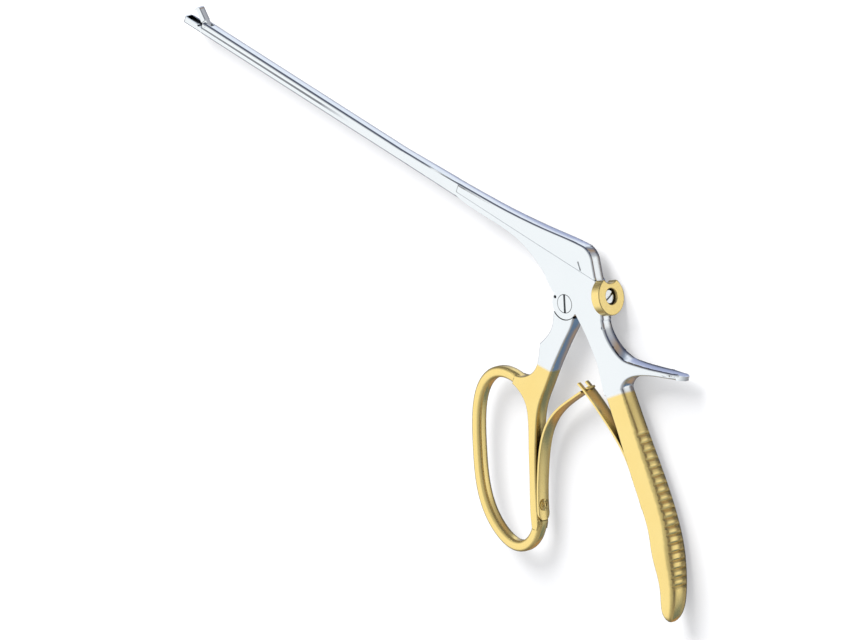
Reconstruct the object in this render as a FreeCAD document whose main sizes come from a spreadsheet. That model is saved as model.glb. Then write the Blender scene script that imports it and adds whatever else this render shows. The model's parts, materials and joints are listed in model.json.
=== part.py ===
import FreeCAD, Part
import math
import os
import re
from FreeCAD import Placement, Rotation, Vector

# Biopsy punch forceps, lying on its side. X runs along the shaft, from the jaws towards
# the back, Y runs from the handles up to the slider, and Z is the thickness. All sizes
# below are in millimetres or degrees, taken from the axis of the handle pivot.
SIZES = {
    # the two halves of the shaft, the slider running on the fixed half along the seam
    "seam_level": 15.0,
    "shaft_bottom": 12.75,
    "shaft_width_front": 4.7,
    "shaft_width_rear": 5.3,
    "shaft_bottom_radius": 1.5,
    "shaft_even_end": 92.0,
    "shaft_loft_end": 36.0,
    "slider_top": 17.3,
    "slider_top_radius": 1.0,
    "slider_front_lead": 1.1,
    "slider_rear_gap": 0.25,
    "rod_rear_width": 5.2,
    "rod_rear_top": 18.25,
    "rod_rear_radius": 0.7,
    "wedge_reach": 80.0,
    "wedge_width": 5.6,
    "wedge_front_width": 4.5,
    "tick_length": 3.4,
    "tick_width": 0.6,
    "tick_depth": 0.5,
    "tick_angle": -48.0,
    # jaws
    "jaw_pivot_reach": 194.4,
    "jaw_pivot_level": 14.0,
    "jaw_pin_radius": 0.55,
    "drive_pin_radius": 0.45,
    "drive_slot_play": 0.06,
    "drive_arm": 2.5,
    "jaw_swing": 38.0,
    "jaw_hub_radius": 1.0,
    "jaw_heel_width": 2.0,
    "jaw_punch_width": 3.0,
    "punch_reach": 8.6,
    "punch_start": 2.8,
    "punch_wall": 0.45,
    "punch_edge_radius": 0.45,
    "cup_inset": 1.0,
    "cup_roof": 0.7,
    "fork_depth": 3.3,
    "ear_depth": 2.2,
    "ear_slot_end": 1.9,
    "basket_side_play": 0.15,
    "basket_front_play": 0.25,
    "basket_wall": 0.7,
    "basket_floor": 0.75,
    "basket_floor_radius": 0.9,
    "basket_rim": 15.5,
    "nose_radius": 1.9,
    # plate of the frame, its spur and boss, and the box joint of the front handle
    "plate_thickness": 6.0,
    "plate_reach": 62.0,
    "plate_front_width": 5.18,
    "plate_full_start": 24.0,
    "spur_thickness": 7.8,
    "spur_rise_start": 19.0,
    "spur_rise_end": 34.0,
    "boss_radius": 6.0,
    "boss_gap": 0.25,
    "hub_clearance": 0.4,
    "channel_foot_width": 7.2,
    "channel_top_play": 2.3,
    "tongue_thickness": 2.4,
    "tongue_play": 0.1,
    "tongue_foot_width": 6.0,
    "tongue_neck_width": 1.9,
    "lever_arm": 17.0,
    "lever_head_radius": 1.5,
    "mortise_headroom": 0.4,
    "oil_hole_radius": 0.55,
    "oil_hole_depth": 1.2,
    "oil_hole_inset": 0.9,
    "oil_hole_angle": 176.0,
    # front handle
    "handle_thickness": 6.4,
    "shank_chamfer": 0.5,
    "loop_bar_width": 4.2,
    "loop_bar_thickness": 5.6,
    "loop_bar_radius": 1.9,
    # fits
    "running_play": 0.05,
    "seated_play": 0.02,
    "bore_spare": 0.3,
    # pivot screw
    "pivot_head_radius": 3.4,
    "pivot_head_height": 1.0,
    "pivot_head_play": 0.15,
    "pivot_shoulder_radius": 1.7,
    "pivot_slot_width": 0.9,
    "pivot_slot_depth": 0.8,
    "pivot_slot_angle": -67.0,
    # lock disc behind the plate and what holds it
    "disc_radius": 7.1,
    "disc_thickness": 4.0,
    "disc_hole_radius": 3.0,
    "disc_axis_angle": 31.5,
    "disc_screw_head_radius": 2.5,
    "disc_screw_head_height": 0.9,
    "disc_screw_shank_radius": 1.25,
    "disc_screw_length": 6.5,
    "disc_slot_width": 0.8,
    "disc_slot_depth": 0.5,
    "disc_slot_angle": -62.8,
    "disc_washer_thickness": 0.3,
    "disc_floor": 1.6,
    "disc_notch_radius": 4.6,
    "disc_notch_depth": 2.3,
    "disc_notch_turn": 8.0,
    "seat_land": 1.4,
    "seat_step": 0.4,
    # springs between the handles
    "spring_thickness": 0.9,
    "spring_width": 6.0,
    "spring_end_radius": 2.7,
    "fork_gap_width": 2.9,
    "fork_gap_length": 4.4,
    "spring_neck_width": 2.3,
    "spring_head_width": 4.4,
    "spring_head_length": 0.9,
    "spring_screw_head_radius": 2.2,
    "spring_screw_head_height": 0.5,
    "spring_screw_dome": 0.7,
    "spring_screw_shank_radius": 1.1,
    "spring_screw_length": 3.2,
    "spring_slot_width": 0.6,
    "spring_slot_depth": 0.55,
    # ribs across the back of the rear grip
    "rib_count": 19,
    "rib_pitch": 3.25,
    "rib_start": 18.3,
    # keys that hold the slider down on the fixed shaft
    "key_length": 3.0,
    "key_neck_width": 1.2,
    "key_head_width": 2.4,
    "key_head_height": 0.6,
    "key_neck_height": 0.6,
    "key_front_setback": 8.4,
    "key_rear_reach": 62.0,
    "key_opening": 6.0,
    "key_end_play": 0.3,
}

document = FreeCAD.newDocument("BiopsyPunchForceps")
sheet = document.addObject("Spreadsheet::Sheet", "Sizes")
for row, (alias, value) in enumerate(SIZES.items(), 1):
    sheet.set(f"A{row}", alias)
    sheet.set(f"B{row}", str(value))
    sheet.setAlias(f"B{row}", alias)
document.recompute()


class Named:
    """The sizes of the sheet, read back as plain numbers."""

    def __getattr__(self, alias):
        return float(sheet.get(alias))


P = Named()


def bind(thing, place, formula):
    """Tie a property to a formula written with the names of the sheet."""
    def with_sheet(word):
        return f"Sizes.{word[0]}" if word[0] in SIZES else word[0]

    thing.setExpression(place, re.sub(r"[a-z][a-z_]+", with_sheet, formula))


def flat(point, level=0.0):
    return Vector(point[0], point[1], level)


def turned(point, degrees):
    """A plane point turned about the origin."""
    angle = math.radians(degrees)
    return (
        point[0] * math.cos(angle) - point[1] * math.sin(angle),
        point[0] * math.sin(angle) + point[1] * math.cos(angle),
    )


def polar(radius, degrees, centre=(0.0, 0.0)):
    x, y = turned((radius, 0.0), degrees)
    return (centre[0] + x, centre[1] + y)


def shifted(point, direction, distance):
    return (point[0] + direction[0] * distance, point[1] + direction[1] * distance)


def unit(degrees):
    return Vector(*turned((1.0, 0.0), degrees), 0)


# What the mechanism gives: the slider's stroke and the small turn of the front handle.
SEAM = P.seam_level
HALF_SWING = math.radians(P.jaw_swing / 2)
STROKE = 2 * P.drive_arm * math.sin(HALF_SWING)
HANDLE_SWING = 2 * math.degrees(math.asin(STROKE / 2 / P.lever_arm))
JAW_PIVOT = (-P.jaw_pivot_reach, P.jaw_pivot_level)
DRIVE_PIN = (JAW_PIVOT[0] + STROKE / 2, JAW_PIVOT[1] + P.drive_arm * math.cos(HALF_SWING))
LEVER_HEAD = turned((0.0, P.lever_arm), -HANDLE_SWING / 2)
HALF_PLATE = P.plate_thickness / 2
HALF_SPUR = P.spur_thickness / 2
SLIDER_FRONT = DRIVE_PIN[0] - P.slider_front_lead
KEY_REACHES = {"Front": P.jaw_pivot_reach - P.key_front_setback, "Rear": P.key_rear_reach}
UPWARDS = Vector(0, 0, 1)
THROUGH = "200"
BEYOND = 1.0

# Seat of the lock disc on the rear edge of the plate.
DISC_SEAT = (14.2, 9.7)
DISC_AXIS = unit(P.disc_axis_angle)
DISC_UP = Vector(-DISC_AXIS.y, DISC_AXIS.x, 0)


def seat_point(up, out=0.0):
    """A point of the disc's plane, up along the seat and out along the disc's axis."""
    return (
        DISC_SEAT[0] + DISC_UP.x * up + DISC_AXIS.x * out,
        DISC_SEAT[1] + DISC_UP.y * up + DISC_AXIS.y * out,
    )


SEAT_TOP = seat_point((SEAM - DISC_SEAT[1]) / DISC_UP.y)
SEAT_BOTTOM = seat_point(-P.disc_radius - P.seat_land)
SEAT_STEP = shifted(SEAT_BOTTOM, (DISC_AXIS.x, DISC_AXIS.y), -P.seat_step)

# Outline of the frame's plate, clockwise from the seat of the disc. The spur's tip is an
# arc through the first two points of its underside.
SPUR_TOP = [SEAT_STEP, (20.4, -0.6), (24.0, -3.5), (28.4, -5.6), (32.8, -6.5), (38.0, -5.7),
            (45.3, -3.8), (52.4, -1.6), (57.5, -0.2), (60.8, 0.5)]
SPUR_END = (61.9, -0.3)
SPUR_UNDER = [(61.0, -1.3), (55.6, -3.1), (49.7, -5.1), (42.9, -8.2), (39.0, -10.8), (36.5, -14.1),
              (36.1, -17.4)]
BOSS_REAR = polar(P.boss_radius, -12)
BOSS_BOTTOM = polar(P.boss_radius, -105)
BOSS_FRONT = polar(P.boss_radius, 165)
PLATE_REAR = [(29.4, -23.4), (25.0, -17.9), (22.0, -14.1), (18.2, -10.7), (14.2, -7.2), (10.5, -4.4),
              BOSS_REAR]
PLATE_FRONT = [BOSS_FRONT, (-9.4, 3.4), (-12.7, 6.1), (-16.9, 8.4), (-23.4, 11.0), (-32.0, 12.7),
               (-44.0, 12.95), (-P.plate_reach, 13.6)]
# The end of the spur seen from above, as far back and half as wide.
SPUR_PLAN = [(46.0, HALF_SPUR), (53.0, 3.6), (57.8, 2.75), (60.6, 1.5), (SPUR_END[0], 0.0)]

# Stations of the rear grip: middle point, width in the plane, thickness, and the radius of
# the corners at the back and at the front.
GRIP = [
    ((25.4, -11.8), 7.0, 6.0, 0.9, 0.9),
    ((32.9, -20.1), 8.7, 7.6, 1.2, 1.0),
    ((46.7, -34.2), 9.2, 8.8, 2.1, 1.3),
    ((61.1, -48.9), 9.4, 10.0, 2.5, 1.3),
    ((71.0, -60.5), 8.7, 11.0, 2.6, 1.4),
    ((79.3, -74.0), 7.2, 11.0, 2.5, 1.6),
    ((82.8, -82.4), 6.3, 9.6, 2.1, 1.6),
    ((84.2, -88.6), 4.4, 7.0, 1.6, 1.4),
    ((84.7, -90.8), 1.6, 3.0, 0.7, 0.6),
]
# Half of the groove between two ribs: along the back and out of it.
RIB_GROOVE = [(1.15, 0.4), (1.15, 0.05), (0.5, -0.25), (0.0, -0.6)]

# Outline of the wedge at the slider's rear.
WEDGE_BACK = [(5.9, 21.9), (3.6, 23.7), (0.4, 24.45)]
WEDGE_TOP = [WEDGE_BACK[-1], (-6.0, 23.8), (-16.0, 22.3), (-31.0, 20.4), (-41.0, 19.5), (-51.0, 18.9),
             (-66.0, 18.1), (-P.wedge_reach, 17.2)]
WEDGE_HEEL = (1.0, 1.1)
TICK = (1.5, 16.7)

# Outline of the front handle's shank, down the back and up the front, and the loop's middle line.
SHOULDER = P.boss_radius + P.boss_gap
SHOULDER_FRONT = polar(SHOULDER, -126)
SHOULDER_REAR = polar(SHOULDER, -32)
SHANK_BACK = [(5.75, -3.5), (5.6, -7.5), (4.5, -13.3), (3.6, -18.9), (2.8, -24.5), (2.3, -30.0),
              (1.8, -35.6), (1.4, -39.8), (1.5, -44.1), (3.2, -51.7), (5.4, -58.9), (8.1, -66.4),
              (12.2, -76.6), (15.7, -84.2)]
SHANK_INSIDE = [(13.6, -88.0), (12.0, -85.0), (6.3, -70.8), (2.0, -59.9), (-1.9, -49.8), (-4.9, -44.9),
                (-8.6, -42.2), (-13.0, -40.8)]
SHANK_STOP = [(-13.0, -37.0), (-9.8, -36.0), (-7.4, -34.2), (-5.4, -31.4), (-4.8, -29.2), (-4.8, -26.5),
              (-5.4, -22.9), (-6.1, -19.9)]
SHANK_FRONT = [(-6.1, -19.9), (-4.1, -16.1), (-3.0, -12.6), (-3.2, -8.3), (-4.08, -5.62)]
SHANK_FOOT = (16.2, -87.6)
LOOP = [(-7.0, -39.2), (-12.0, -38.7), (-18.0, -38.9), (-23.2, -41.4), (-26.5, -46.5), (-27.2, -53.5),
        (-25.2, -62.5), (-21.2, -72.7), (-12.2, -88.8), (-6.1, -94.4), (1.2, -98.0), (6.6, -98.7),
        (11.2, -96.9), (14.0, -93.0), (14.8, -88.0), (14.3, -84.4)]

# Middle lines of the leaf springs, each from its free end to the end that is screwed on.
FRONT_SPRING = [(18.1, -27.9), (16.4, -30.2), (12.9, -35.0), (9.9, -39.7), (7.9, -44.3), (6.8, -50.0),
                (7.1, -56.2), (9.2, -65.6), (12.7, -76.4), (13.55, -78.5), (16.0, -83.8)]
REAR_SPRING = [(15.6, -25.6), (23.2, -28.4), (29.6, -31.5), (35.9, -34.7), (42.0, -38.3), (46.8, -41.9),
               (51.6, -46.6), (57.0, -52.4), (60.0, -55.9)]
SPRING_TIP = [(17.2, -29.1), (18.1, -27.9), (19.1, -26.5), (20.0, -25.2)]
FRONT_SCREW_STATION = 9
REAR_SCREW_STATION = 7

# Back of the upper jaw's heel, drawn shut and taken from the jaw's pivot.
HEEL_BACK = [(0.55, 2.6), (0.2, 3.1)]


def new_body(label):
    body = document.addObject("PartDesign::Body", label)
    body.Label = label
    return body


def origin_plane(body, role="XY_Plane"):
    return next(item for item in body.Origin.OriginFeatures if item.Role == role)


def new_sketch(body, name, pieces, role="XY_Plane", offset=None):
    """A sketch on one of the body's own planes, drawn from lines, arcs and curves."""
    sketch = body.newObject("Sketcher::SketchObject", name)
    sketch.AttachmentSupport = [(origin_plane(body, role), "")]
    sketch.MapMode = "FlatFace"
    if offset is not None:
        sketch.AttachmentOffset = offset
    sketch.addGeometry(list(pieces), False)
    return sketch


def new_section(body, name, pieces, x):
    """A cross-section of the shaft at x, drawn in Y and Z."""
    return new_sketch(body, name, pieces, "YZ_Plane", Placement(Vector(0, 0, x), Rotation()))


def line(start, end):
    return Part.LineSegment(flat(start), flat(end))


def lines(points, closed=True):
    ends = points[1:] + points[:1] if closed else points[1:]
    return [line(a, b) for a, b in zip(points, ends)]


def arc(start, middle, end):
    return Part.Arc(flat(start), flat(middle), flat(end))


def curve(points):
    spline = Part.BSplineCurve()
    spline.interpolate([flat(p) for p in points])
    return spline


def rounded_box(width, height, radius, left_radius=None):
    """Outline of a rectangle with round corners, about its own middle."""
    left = radius if left_radius is None else left_radius
    corners = []
    for quarter, (x, y, r) in enumerate([(1, 1, radius), (-1, 1, left), (-1, -1, left), (1, -1, radius)]):
        centre = (x * (width / 2 - r), y * (height / 2 - r))
        corners.append([polar(r, 90 * quarter + turn, centre) for turn in (0, 45, 90)])
    pieces = []
    for number, corner in enumerate(corners):
        pieces.append(arc(*corner))
        pieces.append(line(corner[2], corners[(number + 1) % 4][0]))
    return pieces


def half_rod(width, flat_side, round_side, radius):
    """Cross-section of a shaft half in the Y-Z plane: flat at the seam, round outside."""
    side = 1 if round_side > flat_side else -1
    half, inner = width / 2, round_side - side * radius
    diagonal = radius * math.sqrt(0.5)
    near = (inner + side * diagonal, half - radius + diagonal)
    far = (inner + side * diagonal, -half + radius - diagonal)
    return [
        line((flat_side, -half), (flat_side, half)),
        line((flat_side, half), (inner, half)),
        arc((inner, half), near, (round_side, half - radius)),
        line((round_side, half - radius), (round_side, -half + radius)),
        arc((round_side, -half + radius), far, (inner, -half)),
        line((inner, -half), (flat_side, -half)),
    ]


def pad(body, name, sketch, formula, symmetric=True):
    feature = body.newObject("PartDesign::Pad", name)
    feature.Profile = sketch
    feature.SideType = "Symmetric" if symmetric else "One side"
    bind(feature, "Length", formula)
    return feature


def pocket(body, name, sketch, formula, symmetric=True):
    feature = body.newObject("PartDesign::Pocket", name)
    feature.Profile = sketch
    feature.SideType = "Symmetric" if symmetric else "One side"
    bind(feature, "Length", formula)
    return feature


def loft(body, name, sketches, ruled=False):
    feature = body.newObject("PartDesign::AdditiveLoft", name)
    feature.Profile = sketches[0]
    feature.Sections = sketches[1:]
    feature.Ruled = ruled
    return feature


def cylinder(body, kind, name, radius, height, base, axis=(0, 0, 1)):
    """An added or subtracted cylinder that starts at base and runs along axis."""
    feature = body.newObject(f"PartDesign::{kind}Cylinder", name)
    feature.AttachmentSupport = [(origin_plane(body), "")]
    feature.MapMode = "FlatFace"
    bind(feature, "Radius", radius)
    bind(feature, "Height", height)
    feature.AttachmentOffset = Placement(Vector(*base), Rotation(UPWARDS, Vector(*axis)))
    return feature


def bore(body, name, radius, centre=(0.0, 0.0)):
    """A round hole along Z, right through the body."""
    return cylinder(body, "Subtractive", name, radius, THROUGH, (*centre, -float(THROUGH) / 2))


def screw_bore(body, name, radius, seat, outward, depth):
    """A round hole for a screw that goes in at seat, against the outward direction."""
    start = shifted(seat, outward, -depth)
    return cylinder(body, "Subtractive", name, radius, str(2 * depth), (*start, 0), (*outward, 0))


def box(body, kind, name, x_range, y_range, width):
    """An added or subtracted box, even about the middle plane."""
    feature = body.newObject(f"PartDesign::{kind}Box", name)
    feature.AttachmentSupport = [(origin_plane(body), "")]
    feature.MapMode = "FlatFace"
    feature.Length = x_range[1] - x_range[0]
    feature.Width = y_range[1] - y_range[0]
    bind(feature, "Height", width)
    corner = Vector(x_range[0], y_range[0], -feature.Height.Value / 2)
    feature.AttachmentOffset = Placement(corner, Rotation())
    bind(feature, "AttachmentOffset.Base.z", f"-({width}) / 2")
    return feature


def chamfer(body, name, base, wanted, size):
    """Break those edges of a feature that the test picks."""
    document.recompute()
    edges = [f"Edge{n}" for n, edge in enumerate(base.Shape.Edges, 1) if wanted(edge)]
    feature = body.newObject("PartDesign::Chamfer", name)
    feature.Base = (base, edges)
    bind(feature, "Size", size)
    return feature


def curved_in_faces(level):
    """Picks the curved edges that lie in the two side faces, this far from the middle."""
    def wanted(edge):
        span = edge.BoundBox
        in_face = abs(span.ZMin - span.ZMax) < 0.01 and abs(abs(span.ZMin) - level) < 0.01
        return in_face and edge.Curve.TypeId == "Part::GeomBSplineCurve"

    return wanted


def round_corners(body, name, end, outward, half, radius, role):
    """Round both corners of an end whose edge lies at end, outward being 1 or -1 along it."""
    pieces = []
    inset = radius * (1 - math.sqrt(0.5))
    for side in (1, -1):
        tip = (end, side * (half - radius))
        middle = (end - outward * inset, side * (half - inset))
        foot = (end - outward * radius, side * half)
        outside = side * (half + BEYOND)
        past = end + outward * BEYOND
        pieces += lines([tip, (past, tip[1]), (past, outside), (foot[0], outside), foot], closed=False)
        pieces.append(arc(foot, middle, tip))
    return pocket(body, name, new_sketch(body, f"{name}Outline", pieces, role), THROUGH)


def across(point, tangent):
    """Placement of a section sketch: its x across the piece, its y along Z."""
    normal = Vector(-tangent.y, tangent.x, 0)
    return Placement(Vector(point[0], point[1], 0), Rotation(normal, UPWARDS, tangent, "ZXY"))


def grip_direction(number):
    """Unit tangent of the grip's middle line at a station."""
    before = GRIP[max(number - 1, 0)][0]
    after = GRIP[min(number + 1, len(GRIP) - 1)][0]
    tangent = Vector(after[0] - before[0], after[1] - before[1], 0)
    return tangent.normalize()


def grip_back(number):
    """The middle of the grip's back at a station."""
    tangent = grip_direction(number)
    centre, width = GRIP[number][:2]
    return shifted(centre, (-tangent.y, tangent.x), width / 2)


def make_frame():
    """Fixed shaft with its jaw basket, plate, spur and rear grip, forged as one piece."""
    body = new_body("frame")
    make_plate(body)
    # The shaft, flat at the seam and round below: even in front, wider towards the plate.
    even_shaft(body, "FixedRod", JAW_PIVOT[0] - P.ear_depth, P.shaft_bottom, P.shaft_bottom_radius)
    sections = []
    for name, x, width in (
        ("ShaftFront", -P.shaft_even_end, P.shaft_width_front),
        ("ShaftRear", -P.shaft_loft_end, P.shaft_width_rear),
    ):
        rod = half_rod(width, SEAM, P.shaft_bottom, P.shaft_bottom_radius)
        sections.append(new_section(body, name, rod, x))
    loft(body, "FixedShaft", sections, ruled=True)
    make_basket(body)
    make_grip(body)
    cut_joint(body)
    cut_disc_seat(body)
    cut_spring_seat(body, REAR_SPRING, rear_screw_seat())
    cut_key_slots(body)
    return body


def make_plate(body):
    """Plate with the spur. Seen from above it widens from the shaft to the spur."""
    front = -P.plate_reach
    outline = [
        line(PLATE_FRONT[-1], (front, SEAM)),
        line((front, SEAM), SEAT_TOP),
        line(SEAT_TOP, SEAT_BOTTOM),
        line(SEAT_BOTTOM, SEAT_STEP),
        curve(SPUR_TOP),
        arc(SPUR_TOP[-1], SPUR_END, SPUR_UNDER[0]),
        curve(SPUR_UNDER),
        line(SPUR_UNDER[-1], PLATE_REAR[0]),
        curve(PLATE_REAR),
        arc(BOSS_REAR, BOSS_BOTTOM, BOSS_FRONT),
        curve(PLATE_FRONT),
    ]
    pad(body, "Plate", new_sketch(body, "PlateOutline", outline), "spur_thickness")
    outside = HALF_SPUR + BEYOND
    behind = SPUR_END[0] + BEYOND
    face = [(behind, 0.0), (behind, outside), (front - BEYOND, outside),
            (front - BEYOND, P.plate_front_width / 2), (-P.plate_full_start, HALF_PLATE),
            (P.spur_rise_start, HALF_PLATE), (P.spur_rise_end, HALF_SPUR), SPUR_PLAN[0]]
    pieces = []
    for side in (1, -1):
        pieces += lines([(x, side * z) for x, z in face], closed=False)
        pieces.append(curve([(x, side * z) for x, z in SPUR_PLAN]))
        pieces.append(line(SPUR_PLAN[-1], face[0]))
    pocket(body, "PlateFaces", new_sketch(body, "PlatePlan", pieces, "XZ_Plane"), THROUGH)


def even_shaft(body, name, front, round_side, radius):
    """The stretch of a shaft half that keeps one section, from its front end backwards."""
    rod = half_rod(P.shaft_width_front, SEAM, round_side, radius)
    sketch = new_section(body, f"{name}Section", rod, front)
    return pad(body, name, sketch, str(-P.shaft_even_end - front), symmetric=False)


def make_basket(body):
    """Lower jaw: an open basket with a raised rim that takes the punch of the upper jaw."""
    back = JAW_PIVOT[0] - P.ear_depth
    inside_front = JAW_PIVOT[0] - P.punch_reach - P.basket_front_play
    front = inside_front - P.basket_wall
    rod = half_rod(P.shaft_width_front, P.basket_rim, P.shaft_bottom, P.shaft_bottom_radius)
    section = new_section(body, "BasketSection", rod, front)
    pad(body, "Basket", section, str(back - front), symmetric=False)
    round_corners(body, "Nose", front, -1, P.shaft_width_front / 2, P.nose_radius, "XZ_Plane")
    inner = P.jaw_punch_width + 2 * P.basket_side_play
    floor = P.shaft_bottom + P.basket_floor
    hollow = half_rod(inner, P.basket_rim + BEYOND, floor, P.basket_floor_radius)
    inside_back = JAW_PIVOT[0] - P.punch_start + P.basket_side_play
    bowl = new_section(body, "BowlSection", hollow, inside_front)
    feature = pocket(body, "Bowl", bowl, str(inside_back - inside_front), symmetric=False)
    feature.Reversed = True
    # Slot between the two ears that carry the upper jaw.
    box(body, "Subtractive", "HeelSlot", (inside_back - P.seated_play, JAW_PIVOT[0] + P.ear_slot_end),
        (P.shaft_bottom - BEYOND, P.basket_rim + BEYOND), "jaw_heel_width + 2 * running_play")
    bore(body, "JawPinHole", "jaw_pin_radius + seated_play", JAW_PIVOT)


def make_grip(body):
    """The rear grip, lofted through its stations, with ribs across its back."""
    sections = []
    for number, (centre, width, thickness, back_radius, front_radius) in enumerate(GRIP):
        place = across(centre, grip_direction(number))
        outline = rounded_box(width, thickness, back_radius, front_radius)
        sections.append(new_sketch(body, f"GripSection{number}", outline, offset=place))
    loft(body, "RearGrip", sections)
    back = curve([grip_back(number) for number in range(1, len(GRIP))]).toShape()
    far_side = [(-along, out) for along, out in reversed(RIB_GROOVE[:-1])]
    pieces = []
    for number in range(int(P.rib_count)):
        place = back.getParameterByLength(P.rib_start + number * P.rib_pitch)
        point, tangent = back.valueAt(place), back.tangentAt(place)
        groove = []
        for along, out in RIB_GROOVE + far_side:
            foot = shifted((point.x, point.y), (tangent.x, tangent.y), along)
            groove.append(shifted(foot, (-tangent.y, tangent.x), out))
        pieces += lines(groove)
    pocket(body, "Ribs", new_sketch(body, "RibGrooves", pieces), THROUGH)


def cut_joint(body):
    """Slot of the box joint, the bores of its screw, and the oil hole beside it."""
    hub = SHOULDER + P.hub_clearance
    foot = P.channel_foot_width / 2
    foot_level = math.sqrt(hub**2 - foot**2)
    top = STROKE / 2 + P.channel_top_play
    top_level = SEAM + BEYOND
    channel = [
        arc((foot, foot_level), (0, -hub), (-foot, foot_level)),
        line((-foot, foot_level), (-top, top_level)),
        line((-top, top_level), (top, top_level)),
        line((top, top_level), (foot, foot_level)),
    ]
    sketch = new_sketch(body, "TongueSlotOutline", channel)
    pocket(body, "TongueSlot", sketch, "tongue_thickness + 2 * tongue_play")
    cylinder(body, "Subtractive", "HeadSeat", "pivot_head_radius + pivot_head_play", THROUGH,
             (0, 0, HALF_PLATE - P.pivot_head_height))
    bore(body, "ScrewBore", "pivot_shoulder_radius + seated_play")
    oil_hole = polar(P.boss_radius - P.oil_hole_inset, P.oil_hole_angle)
    cylinder(body, "Subtractive", "OilHole", "oil_hole_radius", THROUGH,
             (*oil_hole, HALF_PLATE - P.oil_hole_depth))


def cut_disc_seat(body):
    """Bore for the screw of the lock disc."""
    depth = P.disc_screw_length - P.disc_floor - P.disc_washer_thickness + P.bore_spare
    screw_bore(body, "DiscScrewBore", "disc_screw_shank_radius + seated_play", DISC_SEAT,
               (DISC_AXIS.x, DISC_AXIS.y), depth)


def cut_spring_seat(body, spring, screw_seat):
    """Flat seat of a leaf spring, and the bore for its screw."""
    outline = new_sketch(body, "SpringSeatOutline", leaf_outline(spring))
    pocket(body, "SpringSeat", outline, "spring_width + 2 * running_play")
    screw_bore(body, "SpringScrewBore", "spring_screw_shank_radius + seated_play", *screw_seat,
               P.spring_screw_length)


def cut_key_slots(body):
    """Slots that the slider's keys drop into, and slide back in, along the seam."""
    neck = P.key_neck_height
    deep = neck + P.key_head_height + P.running_play
    above = SEAM + BEYOND
    for name, reach in KEY_REACHES.items():
        start = -reach - STROKE - P.key_end_play
        end = -reach + P.key_length + P.key_end_play
        box(body, "Subtractive", f"KeyNeck{name}", (start, end), (SEAM - neck, above),
            "key_neck_width + 2 * running_play")
        box(body, "Subtractive", f"KeyHead{name}", (start, end + P.key_opening),
            (SEAM - deep, SEAM - neck + P.running_play), "key_head_width + 2 * running_play")
        box(body, "Subtractive", f"KeyOpening{name}", (end, end + P.key_opening), (SEAM - deep, above),
            "key_head_width + 2 * running_play")


def make_slider():
    """Upper half of the shaft, which slides forwards to close the jaw."""
    body = new_body("slider")
    make_wedge(body)
    even_shaft(body, "EvenRod", SLIDER_FRONT, P.slider_top, P.slider_top_radius)
    sections = []
    for name, x, width, top, radius in (
        ("RodFront", -P.shaft_even_end, P.shaft_width_front, P.slider_top, P.slider_top_radius),
        ("RodRear", -P.plate_reach, P.rod_rear_width, P.rod_rear_top, P.rod_rear_radius),
    ):
        sections.append(new_section(body, name, half_rod(width, SEAM, top, radius), x))
    loft(body, "Rod", sections, ruled=True)
    # Mortise for the round head of the handle's tongue.
    room = P.lever_head_radius + P.running_play
    box(body, "Subtractive", "Mortise", (LEVER_HEAD[0] - room, LEVER_HEAD[0] + room),
        (SEAM - BEYOND, LEVER_HEAD[1] + P.lever_head_radius + P.mortise_headroom),
        "tongue_thickness + 2 * tongue_play")
    # Fork at the front end round the heel of the upper jaw.
    box(body, "Subtractive", "Fork", (SLIDER_FRONT - BEYOND, SLIDER_FRONT + P.fork_depth),
        (SEAM - BEYOND, P.slider_top + BEYOND), "jaw_heel_width + 2 * running_play")
    bore(body, "DrivePinHole", "drive_pin_radius + seated_play", DRIVE_PIN)
    neck = P.key_neck_height + P.running_play
    head = neck + P.key_head_height - P.running_play
    for name, reach in KEY_REACHES.items():
        span = (-reach, -reach + P.key_length)
        box(body, "Additive", f"KeyNeck{name}", span, (SEAM - neck, SEAM + BEYOND / 2), "key_neck_width")
        box(body, "Additive", f"KeyHead{name}", span, (SEAM - head, SEAM - neck), "key_head_width")
    cut_tick(body)
    return body


def make_wedge(body):
    """Rear end of the slider, which widens from the rod and ends close to the lock disc."""
    rise = SEAM - DISC_SEAT[1] + P.slider_rear_gap * DISC_AXIS.y
    rear_foot = seat_point(rise / DISC_UP.y, -P.slider_rear_gap)
    heel = (rear_foot[0] - WEDGE_HEEL[0], SEAM + WEDGE_HEEL[1])
    front = (WEDGE_TOP[-1][0], SEAM)
    outline = lines([WEDGE_TOP[-1], front, rear_foot, heel, WEDGE_BACK[0]], closed=False)
    outline += [curve(WEDGE_BACK), curve(WEDGE_TOP)]
    pad(body, "Wedge", new_sketch(body, "WedgeOutline", outline), "wedge_width")
    half = P.wedge_width / 2
    pieces = []
    for side in (1, -1):
        face = [(front[0] - BEYOND, P.wedge_front_width / 2), (-P.plate_full_start, half),
                (-P.plate_full_start, half + BEYOND), (front[0] - BEYOND, half + BEYOND)]
        pieces += lines([(x, side * z) for x, z in face])
    pocket(body, "WedgeFaces", new_sketch(body, "WedgePlan", pieces, "XZ_Plane"), THROUGH)


def cut_tick(body):
    """The short engraved line on the side of the wedge."""
    half_length, half_width = P.tick_length / 2, P.tick_width / 2
    corners = [(-half_length, -half_width), (half_length, -half_width), (half_length, half_width),
               (-half_length, half_width)]
    ends = [shifted(TICK, turned(corner, P.tick_angle), 1.0) for corner in corners]
    level = Placement(Vector(0, 0, P.wedge_width / 2 - P.tick_depth), Rotation())
    sketch = new_sketch(body, "TickOutline", lines(ends), offset=level)
    feature = pocket(body, "Tick", sketch, "wedge_width", symmetric=False)
    feature.Reversed = True


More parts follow.
